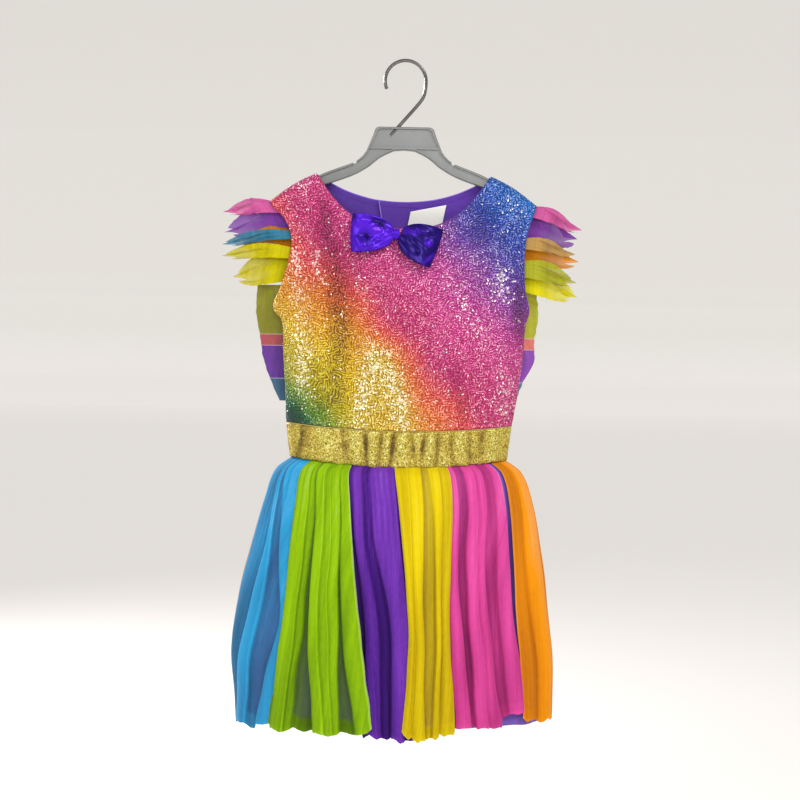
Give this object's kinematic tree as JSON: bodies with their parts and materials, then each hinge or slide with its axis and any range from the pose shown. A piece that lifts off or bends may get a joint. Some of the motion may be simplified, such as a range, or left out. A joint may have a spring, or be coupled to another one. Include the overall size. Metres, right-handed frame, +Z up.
{
  "type": "sequin dress on a clothes hanger",
  "caption": "Child's party dress with sequin bodice, glitter waistband, satin bow, petal sleeves and sheer rainbow skirt, hanging on a plastic hanger with a wire hook.",
  "frame": {"origin": "inner top of the hanger's hook, where it hangs on a rail", "axes": "+Z up along the hanging dress, -Y out of the front of the dress, +X towards the viewer's right when facing its front"},
  "size_m": [0.4142, 0.1773, 0.764],
  "materials": {
    "hook_steel": "bent steel wire, plated",
    "hanger_plastic": "grey moulded plastic",
    "sequin_cloth": "rainbow sequins in curling lines on knit",
    "purple_knit": "plain purple knit",
    "gold_glitter": "gold glitter elastic",
    "lining_satin": "purple satin lining",
    "bow_satin": "violet satin",
    "label_cloth": "blank white woven label",
    "sheer_blue": "sheer blue chiffon with a raw edge",
    "sheer_green": "sheer green chiffon with a raw edge",
    "sheer_purple": "sheer purple chiffon with a raw edge",
    "sheer_yellow": "sheer yellow chiffon with a raw edge",
    "sheer_pink": "sheer pink chiffon with a raw edge",
    "sheer_orange": "sheer orange chiffon with a raw edge",
    "sheer_lime": "sheer lime chiffon with a raw edge",
    "sheer_coral": "sheer coral chiffon with a raw edge",
    "sheer_teal": "sheer teal chiffon with a raw edge"
  },
  "bodies": {
    "root": {"hanger_hook": "hook_steel", "hanger_body": "hanger_plastic", "bodice_front": "sequin_cloth", "bodice_back_left": "purple_knit", "bodice_back_right": "purple_knit", "waistband_front": "gold_glitter", "waistband_back": "gold_glitter", "skirt_lining": "lining_satin", "skirt_front_blue": "sheer_blue", "skirt_front_green": "sheer_green", "skirt_front_purple": "sheer_purple", "skirt_front_yellow": "sheer_yellow", "skirt_front_pink": "sheer_pink", "skirt_front_orange": "sheer_orange", "skirt_back_blue": "sheer_blue", "skirt_back_green": "sheer_green", "skirt_back_purple": "sheer_purple", "skirt_back_yellow": "sheer_yellow", "skirt_back_pink": "sheer_pink", "skirt_back_orange": "sheer_orange", "petal_left_pink": "sheer_pink", "petal_left_purple": "sheer_purple", "petal_left_blue": "sheer_blue", "petal_left_orange": "sheer_orange", "petal_left_lime": "sheer_lime", "petal_left_yellow": "sheer_yellow", "petal_right_pink": "sheer_pink", "petal_right_purple": "sheer_purple", "petal_right_blue": "sheer_blue", "petal_right_orange": "sheer_orange", "petal_right_lime": "sheer_lime", "petal_right_yellow": "sheer_yellow", "drape_left_lime": "sheer_lime", "drape_left_coral": "sheer_coral", "drape_left_purple": "sheer_purple", "drape_left_teal": "sheer_teal", "drape_right_lime": "sheer_lime", "drape_right_coral": "sheer_coral", "drape_right_purple": "sheer_purple", "drape_right_teal": "sheer_teal", "bow_left": "bow_satin", "bow_right": "bow_satin", "bow_knot": "bow_satin", "neck_label": "label_cloth"}
  },
  "joints": []
}
